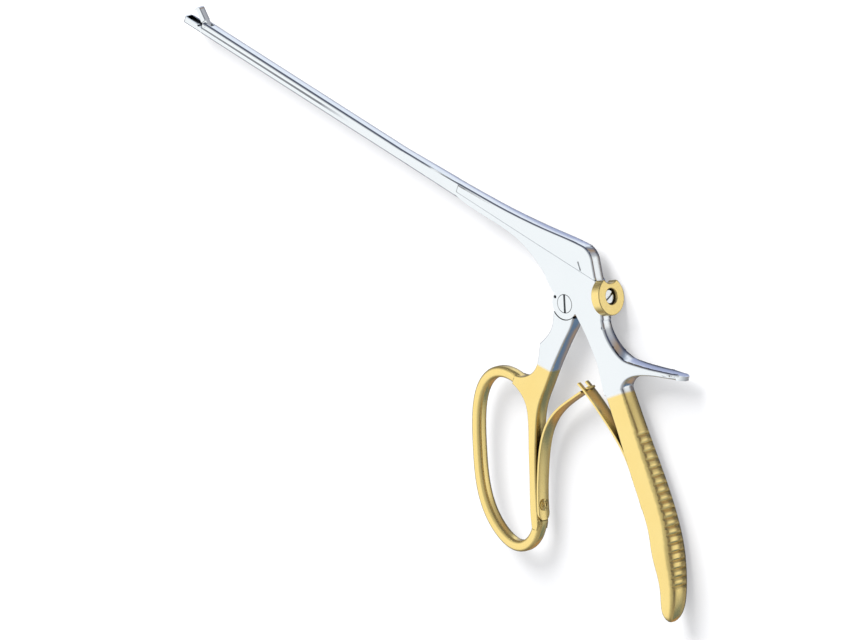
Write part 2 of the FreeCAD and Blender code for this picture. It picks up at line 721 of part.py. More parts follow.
def make_front_handle():
    """Front handle: hub and tongue in the box joint, shank and finger loop."""
    body = new_body("front_handle")
    outline = [
        arc(SHOULDER_FRONT, polar(SHOULDER, -90), SHOULDER_REAR),
        line(SHOULDER_REAR, SHANK_BACK[0]),
        curve(SHANK_BACK),
        line(SHANK_BACK[-1], SHANK_FOOT),
        line(SHANK_FOOT, SHANK_INSIDE[0]),
        curve(SHANK_INSIDE),
        line(SHANK_INSIDE[-1], SHANK_STOP[0]),
        curve(SHANK_STOP),
        curve(SHANK_FRONT),
        line(SHANK_FRONT[-1], SHOULDER_FRONT),
    ]
    shank = pad(body, "Shank", new_sketch(body, "ShankOutline", outline), "handle_thickness")
    chamfer(body, "ShankEdges", shank, curved_in_faces(P.handle_thickness / 2), "shank_chamfer")
    make_loop(body)
    make_tongue(body)
    bore(body, "PivotBore", "pivot_shoulder_radius + running_play")
    cut_spring_seat(body, FRONT_SPRING, front_screw_seat())
    return body


def make_loop(body):
    """The round bar of the finger loop, from the shank round to its rear bar."""
    path = curve(LOOP)
    spine = new_sketch(body, "LoopPath", [path])
    tangent = path.toShape().tangentAt(path.FirstParameter)
    bar = rounded_box(P.loop_bar_width, P.loop_bar_thickness, P.loop_bar_radius)
    section = new_sketch(body, "LoopSection", bar, offset=across(LOOP[0], tangent))
    document.recompute()
    feature = body.newObject("PartDesign::AdditivePipe", "Loop")
    feature.Profile = section
    feature.Spine = (spine, ["Edge1"])


def make_tongue(body):
    """The tongue goes up through the slot of the frame to the slider, with a round head."""
    level = -P.tongue_thickness / 2
    cylinder(body, "Additive", "Hub", "boss_radius + boss_gap + tongue_play", "tongue_thickness",
             (0, 0, level))
    foot, neck = P.tongue_foot_width / 2, P.tongue_neck_width / 2
    top = P.lever_arm - P.lever_head_radius / 2
    outline = [(-foot, foot), (foot, foot), (neck, top), (-neck, top)]
    sketch = new_sketch(body, "TongueOutline", lines([turned(point, -HANDLE_SWING / 2) for point in outline]))
    pad(body, "Tongue", sketch, "tongue_thickness")
    cylinder(body, "Additive", "TongueHead", "lever_head_radius", "tongue_thickness", (*LEVER_HEAD, level))


def leaf_outline(points):
    """Outline of a bent strip of the springs' thickness, drawn round its middle line."""
    middle = curve(points).toShape()
    sides = {1: [], -1: []}
    for point in points:
        tangent = middle.tangentAt(middle.Curve.parameter(flat(point)))
        for side, row in sides.items():
            row.append(shifted(point, (-tangent.y, tangent.x), side * P.spring_thickness / 2))
    ends = [line(sides[1][end], sides[-1][end]) for end in (0, -1)]
    return [curve(sides[1]), curve(sides[-1]), *ends]


def leaf(body, name, points, width):
    return pad(body, name, new_sketch(body, f"{name}Outline", leaf_outline(points)), width)


def spring_station(points, number, side):
    """A point of a spring's middle line and the outward direction there."""
    middle = curve(points).toShape()
    tangent = middle.tangentAt(middle.Curve.parameter(flat(points[number])))
    return points[number], (-side * tangent.y, side * tangent.x)


def rear_screw_seat():
    return spring_station(REAR_SPRING, REAR_SCREW_STATION, -1)


def front_screw_seat():
    return spring_station(FRONT_SPRING, FRONT_SCREW_STATION, 1)


def make_front_spring():
    """Its narrow tip stands through the fork of the rear spring and ends in a cross head."""
    body = new_body("front_spring")
    leaf(body, "Leaf", FRONT_SPRING, "spring_width")
    round_corners(body, "LowerEnd", FRONT_SPRING[-1][1], -1, P.spring_width / 2, P.spring_end_radius, "YZ_Plane")
    screw_bore(body, "ScrewHole", "spring_screw_shank_radius + running_play", *front_screw_seat(),
               P.spring_screw_length)
    leaf(body, "Tip", SPRING_TIP, "spring_neck_width")
    before, end = SPRING_TIP[-2:]
    length = math.dist(before, end)
    back = ((before[0] - end[0]) / length, (before[1] - end[1]) / length)
    leaf(body, "CrossHead", [shifted(end, back, P.spring_head_length), end], "spring_head_width")
    return body


def make_rear_spring():
    """Its free end is a fork round the tip of the front spring."""
    body = new_body("rear_spring")
    leaf(body, "Leaf", REAR_SPRING, "spring_width")
    x, y = REAR_SPRING[0]
    box(body, "Subtractive", "ForkGap", (x - BEYOND, x + P.fork_gap_length),
        (y - P.fork_gap_length, y + BEYOND), "fork_gap_width")
    screw_bore(body, "ScrewHole", "spring_screw_shank_radius + running_play", *rear_screw_seat(),
               P.spring_screw_length)
    return body


def make_screw(label, head, shank, slot):
    """Slotted screw along its own Z, with the underside of its head at the origin.

    head is its radius, height and dome, shank its radius and length, slot its width and depth.
    """
    body = new_body(label)
    head_radius, head_height, dome = head
    shank_radius, length = shank
    slot_width, slot_depth = slot
    top = (0, head_height + dome)
    rim = (head_radius, head_height)
    profile = lines([top, (0, -length), (shank_radius, -length), (shank_radius, 0), (head_radius, 0), rim],
                    closed=False)
    if dome > 0:
        sphere = (head_radius**2 + dome**2) / (2 * dome)
        half = head_radius / 2
        profile.append(arc(rim, (half, top[1] - sphere + math.sqrt(sphere**2 - half**2)), top))
    else:
        profile.append(line(rim, top))
    turn = body.newObject("PartDesign::Revolution", "Turned")
    turn.Profile = new_sketch(body, "Profile", profile, "XZ_Plane")
    turn.ReferenceAxis = (turn.Profile[0], ["V_Axis"])
    turn.Angle = 360
    cut = body.newObject("PartDesign::SubtractiveBox", "Slot")
    cut.AttachmentSupport = [(origin_plane(body), "")]
    cut.MapMode = "FlatFace"
    cut.Length = 4 * head_radius
    cut.Width = slot_width
    cut.Height = slot_depth + BEYOND
    corner = Vector(-2 * head_radius, -slot_width / 2, top[1] - slot_depth)
    cut.AttachmentOffset = Placement(corner, Rotation())
    return body


def make_spring_screw(label):
    return make_screw(label, (P.spring_screw_head_radius, P.spring_screw_head_height, P.spring_screw_dome),
                      (P.spring_screw_shank_radius, P.spring_screw_length),
                      (P.spring_slot_width, P.spring_slot_depth))


def make_pivot_screw():
    return make_screw("pivot_screw", (P.pivot_head_radius, P.pivot_head_height, 0),
                      (P.pivot_shoulder_radius, P.plate_thickness - P.pivot_head_height),
                      (P.pivot_slot_width, P.pivot_slot_depth))


def make_disc_screw():
    return make_screw("lock_disc_screw", (P.disc_screw_head_radius, P.disc_screw_head_height, 0),
                      (P.disc_screw_shank_radius, P.disc_screw_length),
                      (P.disc_slot_width, P.disc_slot_depth))


def make_pin(label, radius, length):
    body = new_body(label)
    rod = cylinder(body, "Additive", "Rod", radius, length, (0, 0, 0))
    bind(rod, "AttachmentOffset.Base.z", f"-({length}) / 2")
    return body


def make_upper_jaw():
    """Upper jaw, drawn shut with its pivot at the origin, then swung open."""
    body = new_body("upper_jaw")
    top = P.slider_top - P.jaw_pivot_level
    rim = P.basket_rim - P.jaw_pivot_level
    hub = P.jaw_hub_radius
    start, front = -P.punch_start, -P.punch_reach
    joined = start - P.cup_inset
    back_top = (-hub / 2, top)
    heel = lines([back_top, (joined, top), (joined, rim - 0.35), (-hub, 1.1), (-hub, 0.0), (hub, 0.2),
                  HEEL_BACK[0]], closed=False)
    heel.append(curve([*HEEL_BACK, back_top]))
    pad(body, "Heel", new_sketch(body, "HeelOutline", heel), "jaw_heel_width")
    cylinder(body, "Additive", "HeelHub", "jaw_hub_radius", "jaw_heel_width", (0, 0, -P.jaw_heel_width / 2))
    nose = [(front + 1.3, top), (front + 0.4, top - 0.35), (front, top - 1.2)]
    punch = lines([nose[-1], (front + 0.15, 0.45), (front + 1.0, rim - 0.05), (start, rim - 0.3),
                   (start, top - 0.3), (start - 0.3, top), nose[0]], closed=False)
    punch.append(curve(nose))
    pad(body, "Punch", new_sketch(body, "PunchOutline", punch), "jaw_punch_width")
    round_corners(body, "PunchEdges", top, 1, P.jaw_punch_width / 2, P.punch_edge_radius, "YZ_Plane")
    box(body, "Subtractive", "Cup", (front + P.cup_inset, start - P.cup_inset),
        (rim - P.basket_rim, top - P.cup_roof), "jaw_punch_width - 2 * punch_wall")
    bore(body, "PivotHole", "jaw_pin_radius + running_play")
    cut_drive_slot(body)
    return body


def cut_drive_slot(body):
    """Slot along the heel for the slider's pin, whose distance from the pivot changes a little."""
    radius = P.drive_pin_radius + P.running_play
    rise = P.drive_arm * (1 - math.cos(HALF_SWING)) / 2
    upward, sideward = (turned(way, P.jaw_swing / 2) for way in ((0.0, 1.0), (1.0, 0.0)))
    high = shifted((0, 0), upward, P.drive_arm + P.drive_slot_play)
    low = shifted((0, 0), upward, P.drive_arm - 2 * rise - P.drive_slot_play)
    right = [shifted(end, sideward, radius) for end in (low, high)]
    left = [shifted(end, sideward, -radius) for end in (low, high)]
    pieces = [
        line(*right),
        arc(right[1], shifted(high, upward, radius), left[1]),
        line(*reversed(left)),
        arc(left[0], shifted(low, upward, -radius), right[0]),
    ]
    pocket(body, "DriveSlot", new_sketch(body, "DriveSlotOutline", pieces), THROUGH)


def make_lock_disc():
    """Disc along its own Z, with its seat at the origin and its notch up the own Y."""
    body = new_body("lock_disc")
    cylinder(body, "Additive", "Disc", "disc_radius", "disc_thickness", (0, 0, 0))
    centre = P.disc_radius - P.disc_notch_depth + P.disc_notch_radius
    bore(body, "Notch", "disc_notch_radius", turned((0.0, centre), -P.disc_notch_turn))
    cylinder(body, "Subtractive", "Recess", "disc_hole_radius", "disc_thickness", (0, 0, P.disc_floor))
    bore(body, "Bore", "disc_screw_shank_radius + running_play")
    return body


def make_lock_washer():
    """Spring washer under the head of the disc's screw, which keeps the disc where it is set."""
    body = new_body("lock_disc_washer")
    cylinder(body, "Additive", "Ring", "disc_screw_head_radius", "disc_washer_thickness", (0, 0, 0))
    bore(body, "Bore", "disc_screw_shank_radius + seated_play")
    return body


def facing(point, outward, up, turn=0.0):
    """Placement that sets a piece's own Z outward in the plane and its own Y along up."""
    outward = Vector(outward[0], outward[1], 0)
    rotation = Rotation(up.cross(outward), up, outward, "ZYX")
    return Placement(flat(point), rotation.multiply(Rotation(UPWARDS, turn)))


def spring_screw_place(seat):
    point, outward = seat
    lift = P.spring_thickness / 2 + P.running_play
    return facing(shifted(point, outward, lift), outward, UPWARDS)


def build_pieces():
    """Every piece with its place in the assembly, taken from the handle pivot."""
    pivot_head = Vector(0, 0, HALF_PLATE - P.pivot_head_height)
    disc_head = seat_point(0, P.disc_floor + P.disc_washer_thickness)
    return [
        (make_frame(), Placement()),
        (make_pivot_screw(), Placement(pivot_head, Rotation(UPWARDS, P.pivot_slot_angle))),
        (make_pin("jaw_pivot_pin", "jaw_pin_radius", "shaft_width_front"), Placement(flat(JAW_PIVOT), Rotation())),
        (make_rear_spring(), Placement()),
        (make_spring_screw("rear_spring_screw"), spring_screw_place(rear_screw_seat())),
        (make_disc_screw(), facing(disc_head, DISC_AXIS, UPWARDS, P.disc_slot_angle)),
        (make_lock_washer(), facing(seat_point(0, P.disc_floor), DISC_AXIS, DISC_UP)),
        (make_front_handle(), Placement()),
        (make_front_spring(), Placement()),
        (make_spring_screw("front_spring_screw"), spring_screw_place(front_screw_seat())),
        (make_slider(), Placement()),
        (make_pin("jaw_drive_pin", "drive_pin_radius", "shaft_width_front"), Placement(flat(DRIVE_PIN), Rotation())),
        (make_upper_jaw(), Placement(flat(JAW_PIVOT), Rotation(UPWARDS, -P.jaw_swing))),
        (make_lock_disc(), facing(DISC_SEAT, DISC_AXIS, DISC_UP)),
    ]


def check_all(pieces):
    """Stop if any object failed or any piece isn't one sound solid."""
    for item in document.Objects:
        if "Invalid" in item.State or "Error" in item.State:
            raise RuntimeError(f"{item.Label} failed: {item.State}")
    for body, _ in pieces:
        if body.Shape.isNull() or not body.Shape.isValid() or len(body.Shape.Solids) != 1:
            raise RuntimeError(f"{body.Label} isn't one sound solid: {len(body.Shape.Solids)}")


pieces = build_pieces()
document.recompute()
check_all(pieces)

# The row's origin is under the middle of the whole instrument, on the surface that it lies on.
for body, place in pieces:
    body.Placement = place
whole = Part.makeCompound([body.Shape for body, _ in pieces]).optimalBoundingBox(False)
shift = Vector(-(whole.XMin + whole.XMax) / 2, -(whole.YMin + whole.YMax) / 2, -whole.ZMin)
for body, place in pieces:
    body.Placement = Placement(shift, Rotation()).multiply(place)
document.recompute()
check_all(pieces)

print("pivot axis at", [round(c, 4) for c in shift])
print("overall size", round(whole.XLength, 2), round(whole.YLength, 2), round(whole.ZLength, 2))
print("stroke", round(STROKE, 4), "handle swing", round(HANDLE_SWING, 4))

os.makedirs("parts", exist_ok=True)
for body, _ in pieces:
    body.Shape.exportStep(f"parts/{body.Label}.step")
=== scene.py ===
import json
import math

import bmesh
import bpy
from mathutils import Matrix, Vector


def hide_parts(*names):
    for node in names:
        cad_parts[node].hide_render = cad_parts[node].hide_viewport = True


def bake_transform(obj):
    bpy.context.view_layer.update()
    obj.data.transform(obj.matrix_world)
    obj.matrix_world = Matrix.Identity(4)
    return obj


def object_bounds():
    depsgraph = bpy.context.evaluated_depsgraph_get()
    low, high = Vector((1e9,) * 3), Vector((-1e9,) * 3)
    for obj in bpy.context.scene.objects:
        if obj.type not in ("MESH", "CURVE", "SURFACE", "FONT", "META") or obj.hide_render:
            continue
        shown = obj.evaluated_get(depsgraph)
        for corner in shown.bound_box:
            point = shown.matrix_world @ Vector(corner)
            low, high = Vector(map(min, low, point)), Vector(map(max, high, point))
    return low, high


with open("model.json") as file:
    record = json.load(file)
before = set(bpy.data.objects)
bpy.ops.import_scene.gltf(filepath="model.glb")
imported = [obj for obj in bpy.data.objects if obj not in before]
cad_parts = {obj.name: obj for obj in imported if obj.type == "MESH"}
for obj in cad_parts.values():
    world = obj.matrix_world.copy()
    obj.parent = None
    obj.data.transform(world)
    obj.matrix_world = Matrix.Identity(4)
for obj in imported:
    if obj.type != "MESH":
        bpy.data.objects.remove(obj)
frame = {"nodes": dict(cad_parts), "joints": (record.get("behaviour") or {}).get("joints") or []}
frame_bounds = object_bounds()
nodes = frame["nodes"]
joints = {joint["name"]: joint for joint in frame["joints"]}
MM = 0.001

# A point on the axis of the handle pivot. Places in millimetres below are measured from it.
PIVOT = Vector(joints["handle_pivot"]["pos_m"])


def near(x, y, z=0.0):
    """A place in metres, from its place in millimetres."""
    return PIVOT + Vector((x, y, z)) * MM


class Shader:
    """A node tree with short calls for the nodes in use."""

    def __init__(self, tree):
        self.tree = tree

    def add(self, kind, **inputs):
        """A new node. In the name of an input, _ stands for a space."""
        node = self.tree.nodes.new(kind)
        for name, value in inputs.items():
            self.set(node.inputs[name.replace("_", " ")], value)
        return node

    def set(self, socket, value):
        """Links another node's output to the socket, or writes a constant into it."""
        if isinstance(value, bpy.types.NodeSocket):
            self.tree.links.new(value, socket)
        else:
            socket.default_value = value

    def math(self, operation, *values):
        node = self.tree.nodes.new("ShaderNodeMath")
        node.operation = operation
        for socket, value in zip(node.inputs, values):
            self.set(socket, value)
        return node.outputs[0]

    def vector(self, operation, value, constant):
        node = self.add("ShaderNodeVectorMath", Vector=value)
        node.operation = operation
        node.inputs[1].default_value = tuple(constant)
        return node.outputs["Value" if operation == "DOT_PRODUCT" else "Vector"]

    def noise(self, place, scale, detail=2.0, stretch=(1.0, 1.0, 1.0)):
        mapping = self.add("ShaderNodeMapping", Vector=place, Scale=stretch)
        node = self.add("ShaderNodeTexNoise", Vector=mapping.outputs[0], Scale=scale, Detail=detail)
        return node.outputs["Fac"]

    def spread(self, value, low, high, start=0.0, end=1.0):
        """value, taken from start..end to low..high."""
        node = self.add("ShaderNodeMapRange", Value=value)
        limits = {"From Min": start, "From Max": end, "To Min": low, "To Max": high}
        for name, number in limits.items():
            node.inputs[name].default_value = number
        return node.outputs[0]

    def blend(self, factor, a, b):
        """Colour a where factor is 0, and colour b where it is 1."""
        node = self.add("ShaderNodeMix")
        node.data_type = "RGBA"
        self.set(node.inputs["Factor"], factor)
        colours = [socket for socket in node.inputs if socket.type == "RGBA"]
        self.set(colours[0], a)
        self.set(colours[1], b)
        return next(socket for socket in node.outputs if socket.type == "RGBA")

    def ramp(self, value, stops):
        """The colour at value, between stops of position and colour."""
        node = self.add("ShaderNodeValToRGB", Fac=value)
        elements = node.color_ramp.elements
        while len(elements) < len(stops):
            elements.new(0.5)
        for element, (position, colour) in zip(elements, stops):
            element.position = position
            element.color = (*colour, 1.0)
        return node.outputs[0]

    def beyond(self, place, point, direction, step):
        """0 on this side of a plane and 1 beyond it, with a soft step between them."""
        away = self.vector("SUBTRACT", place, point)
        along = self.vector("DOT_PRODUCT", away, direction)
        return self.spread(along, 0.0, 1.0, -step / 2, step / 2)


# Colours of the metals in the open, of their cloudy parts, and of the painted shade in their crevices
# and gaps.
STEEL = (0.91, 0.95, 0.97, 1.0)
STEEL_CLOUD = (0.86, 0.91, 0.94, 1.0)
STEEL_CREVICE_SHADE = (0.01, 0.012, 0.02, 1.0)
GOLD = (0.98, 0.79, 0.33, 1.0)
GOLD_CLOUD = (0.95, 0.71, 0.25, 1.0)
GOLD_CREVICE_SHADE = (0.04, 0.02, 0.003, 1.0)
# Clouds and grain of the polish, by noise cells per metre. The grain is drawn out along the shaft.
CLOUDS = 60.0
GRAINS = 900.0
GRAIN_STRETCH = (0.12, 1.0, 1.0)
GRAIN_DEPTH = 0.1 * MM
GRAIN_STRENGTH = 0.04
# Roughness, and how far the grain takes it down and up.
ROUGHNESS = 0.14
SCREW_ROUGHNESS = 0.2
SMOOTHER = 0.05
ROUGHER = 0.07
# How much rougher the plating is than the steel, and how metallic.
PLATING_ROUGHER = 0.08
PLATING_METALLIC = 0.92
# Width of the step from steel to plating.
SOFT_STEP = 1.0 * MM
# Reach of the painted shade in crevices and in gaps, and the openness at which it is full and where it
# ends.
CREVICE = 1.0 * MM
CREVICE_FADE = (0.15, 0.55)
GAP = 8.0 * MM
GAP_FADE = (0.20, 0.55)
# Half the change of slope per metre of the narrow faces, which are ground slightly round.
CROWN = 34.0


def plating(shader, place, planes):
    """1 beyond all the planes, where the steel is gold-plated, and 0 elsewhere."""
    plated = 1.0 if planes else 0.0
    for point, direction in planes:
        plated = shader.math("MULTIPLY", plated, shader.beyond(place, point, direction, SOFT_STEP))
    return plated


def openness(shader):
    """Openness by ambient occlusion, which sets where shade is painted: 0 deep in a crevice or a gap,
    and 1 in the open.
    """
    crevice = shader.add("ShaderNodeAmbientOcclusion", Distance=CREVICE)
    gap = shader.add("ShaderNodeAmbientOcclusion", Distance=GAP)
    return shader.math("MULTIPLY", shader.spread(crevice.outputs["AO"], 0.0, 1.0, *CREVICE_FADE),
                       shader.spread(gap.outputs["AO"], 0.0, 1.0, *GAP_FADE))


def crowned(shader, place, crown):
    """The normal of faces that are ground slightly round through the thickness."""
    thickness = shader.add("ShaderNodeSeparateXYZ", Vector=place).outputs["Z"]
    off_middle = shader.math("SUBTRACT", thickness, PIVOT.z)
    drop = shader.math("MULTIPLY", shader.math("MULTIPLY", off_middle, off_middle), -crown)
    return shader.add("ShaderNodeBump", Height=drop, Strength=1.0, Distance=1.0).outputs[0]


def polished(name, gold=(), roughness=ROUGHNESS, crown=CROWN):
    """Polished steel, gold-plated beyond all the planes of gold. Crevices and gaps get a painted
    shade, nearly black.
    """
    material = bpy.data.materials.new(name)
    material.use_nodes = True
    shader = Shader(material.node_tree)
    surface = shader.tree.nodes["Principled BSDF"]
    place = shader.add("ShaderNodeTexCoord").outputs["Object"]
    cloud = shader.noise(place, CLOUDS, 3.0)
    grain = shader.noise(place, GRAINS, 2.0, GRAIN_STRETCH)
    plated = plating(shader, place, gold)
    steel_colour = shader.blend(cloud, STEEL, STEEL_CLOUD)
    gold_colour = shader.blend(cloud, GOLD, GOLD_CLOUD)
    unshaded_colour = shader.blend(plated, steel_colour, gold_colour)
    crevice_shade = shader.blend(plated, STEEL_CREVICE_SHADE, GOLD_CREVICE_SHADE)
    # Painted shade: the colour turns nearly black where ambient occlusion finds a crevice or a gap.
    shader.set(surface.inputs["Base Color"], shader.blend(openness(shader), crevice_shade, unshaded_colour))
    shader.set(surface.inputs["Metallic"], shader.spread(plated, 1.0, PLATING_METALLIC))
    polish = shader.spread(grain, roughness - SMOOTHER, roughness + ROUGHER)
    softer = shader.math("MULTIPLY_ADD", plated, PLATING_ROUGHER, polish)
    shader.set(surface.inputs["Roughness"], softer)
    bump = shader.add("ShaderNodeBump", Height=grain, Strength=GRAIN_STRENGTH, Distance=GRAIN_DEPTH,
                      Normal=crowned(shader, place, crown))
    shader.set(surface.inputs["Normal"], bump.outputs[0])
    return material


def paint(obj, material):
    obj.data.materials.clear()
    obj.data.materials.append(material)


# Edges sharper than SHARP are rounded, facets flatter than FLAT are one face, and points closer
# than JOIN are one. An edge runs along the side faces while it climbs less than CLIMB of its length.
SHARP = math.radians(42)
FLAT = math.radians(0.05)
JOIN = 0.001 * MM
CLIMB = 0.25
ROUNDING_SEGMENTS = 5
# Height of the joint between the two halves of the shaft, and how far an edge may lie off it.
SEAM = near(0.0, 15.0).y
SEAM_PLAY = 0.02 * MM


def at_seam(edge):
    """The edges along the joint of the two shaft halves stay tight."""
    return all(abs(vertex.co.y - SEAM) < SEAM_PLAY for vertex in edge.verts)


def edge_key(vertices):
    """The ends of an edge on a fine grid, the same for every facet that has the edge."""
    return frozenset(tuple(round(c / (2 * JOIN)) for c in vertex.co) for vertex in vertices)


def edge_shares(mesh, share):
    """The share of the rounding for each sharp edge, by the edge's key."""
    joined = bmesh.new()
    joined.from_mesh(mesh)
    bmesh.ops.remove_doubles(joined, verts=joined.verts, dist=JOIN)
    shares = {}
    for edge in joined.edges:
        if not edge.is_manifold or edge.calc_face_angle(0.0) < SHARP:
            continue
        a, b = (vertex.co for vertex in edge.verts)
        along_side = abs(a.z - b.z) < CLIMB * (a - b).length
        middle = ((a + b) / 2 - PIVOT) / MM
        shares[edge_key(edge.verts)] = 0.0 if at_seam(edge) else share(middle, along_side)
    joined.free()
    return shares


def add_rounding(obj, width):
    """Joins the facets into plain faces and rounds the weighted edges."""
    weld = obj.modifiers.new("Joined facets", "WELD")
    weld.merge_threshold = JOIN
    flat = obj.modifiers.new("Flat faces", "DECIMATE")
    flat.decimate_type = "DISSOLVE"
    flat.angle_limit = FLAT
    bevel = obj.modifiers.new("Rounded edges", "BEVEL")
    bevel.width = width * MM
    bevel.segments = ROUNDING_SEGMENTS
    bevel.limit_method = "WEIGHT"
    bevel.use_clamp_overlap = False
    normals = obj.modifiers.new("Face normals", "WEIGHTED_NORMAL")
    normals.keep_sharp = True


def even(place, along_side):
    """The same rounding everywhere."""
    return 1.0


def round_edges(obj, width, share=even):
    """Rounds the sharp edges, as the polishing wheel leaves them.

    share gives the part of the width for a place in millimetres, and for an edge that runs along
    the side faces there or through the thickness. It changes only at corners, because a change
    along a smooth outline would fold the rounding. An edge with no share stays sharp.
    """
    mesh = obj.data
    shares = edge_shares(mesh, share)
    weights = mesh.attributes.new("bevel_weight_edge", "FLOAT", "EDGE")
    sharp = mesh.attributes.get("sharp_edge") or mesh.attributes.new("sharp_edge", "BOOLEAN", "EDGE")
    for edge in mesh.edges:
        part = shares.get(edge_key(mesh.vertices[index] for index in edge.vertices))
        weights.data[edge.index].value = part or 0.0
        sharp.data[edge.index].value = part == 0.0
    mesh.polygons.foreach_set("use_smooth", [True] * len(mesh.polygons))
    add_rounding(obj, width)


# Where the rounding changes, in millimetres. The jaws lie where x is below JAWS. At RUN_IN the
# even shaft meets the plate and the wedge, with a low step across the side faces. Where x is above
# SPUR there are only the spur and the grip, and y tells them apart.
JAWS = -190.0
RUN_IN = -62.0
PLATE_REAR = Vector((14.0, -7.5))
SPUR = 31.0
SPUR_UNDERSIDE = -17.4
GRIP_TOP = -24.0
TICK = Vector((1.5, 16.7))
TICK_REACH = 2.6
BOSS_REACH = 7.0
RUN_IN_PLAY = 0.1
# Part of the full width at edges that are only broken, and on the near side of the slider.
BROKEN = 0.15
NEAR_SIDE = 0.9


def at_run_in(place):
    return abs(place.x - RUN_IN) < RUN_IN_PLAY


def frame_share(place, along_side):
    """Wide behind the plate and over the spur, slight along the shaft, none at jaws and grip."""
    if not along_side or at_run_in(place) or place.x < JAWS:
        return 0.0
    behind_plate = place.x > PLATE_REAR.x and place.y > PLATE_REAR.y
    if behind_plate or place.x > SPUR:
        return 1.0 if place.y > SPUR_UNDERSIDE else 0.0
    return BROKEN if place.y > GRIP_TOP else 0.0


def slider_share(place, along_side):
    """Wide along the shaft and the wedge, slight at the tick and the jaws."""
    if not along_side or at_run_in(place):
        return 0.0
    if (place.xy - TICK).length < TICK_REACH or place.x < JAWS:
        return BROKEN
    return 1.0 if place.z < 0.0 else NEAR_SIDE


def handle_share(place, along_side):
    """Even along the side faces, none at the boss."""
    return 1.0 if along_side and place.xy.length > BOSS_REACH else 0.0


# Planes between steel and plating, each by a point and the way into the gold.
DOWN = Vector((0.0, -1.0, 0.0))
ALL_GOLD = [(near(0.0, 100.0), DOWN)]
GRIP_GOLD = [(near(33.5, -21.6), Vector((0.66, -0.75, 0.0))), (near(0.0, -12.0), DOWN)]
LOOP_GOLD = [(near(0.0, -27.6), Vector((0.06, -1.0, 0.0)))]

steel = polished("Polished steel")
screw_steel = polished("Screw steel", roughness=SCREW_ROUGHNESS, crown=0.0)
gold = polished("Gold plate", gold=ALL_GOLD)
flat_gold = polished("Gold plate of the disc", gold=ALL_GOLD, crown=0.0)
frame_finish = polished("Steel with gold-plated grip", gold=GRIP_GOLD)
handle_finish = polished("Steel with gold-plated loop", gold=LOOP_GOLD)

# Finish, width of the edge rounding in millimetres, and how it is shared out.
LOOK = {
    "frame": (frame_finish, 1.2, frame_share),
    "front_handle": (handle_finish, 0.35, handle_share),
    "slider": (steel, 1.0, slider_share),
    "upper_jaw": (steel, 0.0, even),
    "jaw_pivot_pin": (steel, 0.0, even),
    "jaw_drive_pin": (steel, 0.0, even),
    "pivot_screw": (screw_steel, 0.07, even),
    "lock_disc_screw": (screw_steel, 0.1, even),
    "lock_disc_washer": (screw_steel, 0.0, even),
    "lock_disc": (flat_gold, 0.4, even),
    "rear_spring_screw": (flat_gold, 0.08, even),
    "front_spring_screw": (flat_gold, 0.08, even),
}
for name, (finish, width, share) in LOOK.items():
    paint(nodes[name], finish)
    if width:
        round_edges(nodes[name], width, share)

# Where the tip of the front spring stands in the fork of the rear one.
# Width of the edge rounding of the leaf springs, in millimetres.
SPRING_ROUNDING = 0.15


def bending_spring(name):
    """A gold copy of the leaf spring with rounded edges, shown in place of the CAD part."""
    spring = bpy.data.objects.new(f"{name}_leaf", nodes[name].data.copy())
    bpy.context.collection.objects.link(spring)
    paint(spring, gold)
    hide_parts(name)
    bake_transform(spring)
    round_edges(spring, SPRING_ROUNDING)


bending_spring("rear_spring")
bending_spring("front_spring")

PAPER = (0.93, 0.93, 0.94, 1.0)
PAPER_CLOUD = (0.90, 0.90, 0.91, 1.0)
PAPER_CLOUDS = 6.0
PAPER_GLOW = (0.98, 0.98, 0.99, 1.0)
GLOW_PART = 0.4
FLOOR_SIZE = 3.0
FLOOR_GAP = 0.2 * MM


def white_paper():
    """Matt paper. A part of what is seen of it is its own white, so that the shadow stays pale."""
    material = bpy.data.materials.new("White paper")
    material.use_nodes = True
    paper = Shader(material.node_tree)
    surface = paper.tree.nodes["Principled BSDF"]
    cloud = paper.noise(paper.add("ShaderNodeTexCoord").outputs["Object"], PAPER_CLOUDS, 3.0)
    paper.set(surface.inputs["Base Color"], paper.blend(cloud, PAPER, PAPER_CLOUD))
    surface.inputs["Roughness"].default_value = 0.9
    surface.inputs["Specular IOR Level"].default_value = 0.1
    ray = paper.add("ShaderNodeLightPath").outputs
    mirrored = paper.math("MAXIMUM", ray["Is Glossy Ray"], ray["Is Transmission Ray"])
    seen = paper.math("MAXIMUM", ray["Is Camera Ray"], mirrored)
    lift = paper.add("ShaderNodeMixShader", Fac=paper.math("MULTIPLY", seen, GLOW_PART))
    glow = paper.add("ShaderNodeEmission", Color=PAPER_GLOW)
    paper.set(lift.inputs[1], surface.outputs[0])
    paper.set(lift.inputs[2], glow.outputs[0])
    paper.set(paper.tree.nodes["Material Output"].inputs["Surface"], lift.outputs[0])
    return material


def lay_floor():
    """A pale floor just under the instrument."""
    below = frame_bounds[0].z - FLOOR_GAP
    bpy.ops.mesh.primitive_plane_add(size=FLOOR_SIZE, location=(0, 0, below))
    floor = bpy.context.object
    floor.name = "Floor"
    floor.data.materials.append(white_paper())
    floor.visible_glossy = False


lay_floor()

# Surroundings. Polished metal mirrors a studio: a white card over the side face, a dark room
# round it under a grey ceiling, and below the horizon a ring of cards. Room and ring change with
# the compass direction. What isn't mirrored is lit by an even white tent.
WHITE = (1.00, 1.00, 1.00)
CEILING = (0.44, 0.45, 0.47, 1.0)
TENT = (0.62, 0.63, 0.65, 1.0)
# From the instrument to the camera, as in the photograph, and to the card that its side mirrors.
TO_CAMERA = Vector((0.5327, 0.4156, 0.7373))
TO_CARD = (-TO_CAMERA.x, -TO_CAMERA.y, TO_CAMERA.z)
# How much of the white card shows, by the cosine of the angle from its middle.
CARD = [(0.30, (0.0, 0.0, 0.0)), (0.60, (0.16, 0.16, 0.16)), (0.76, (0.60, 0.60, 0.60)), (0.86, WHITE)]
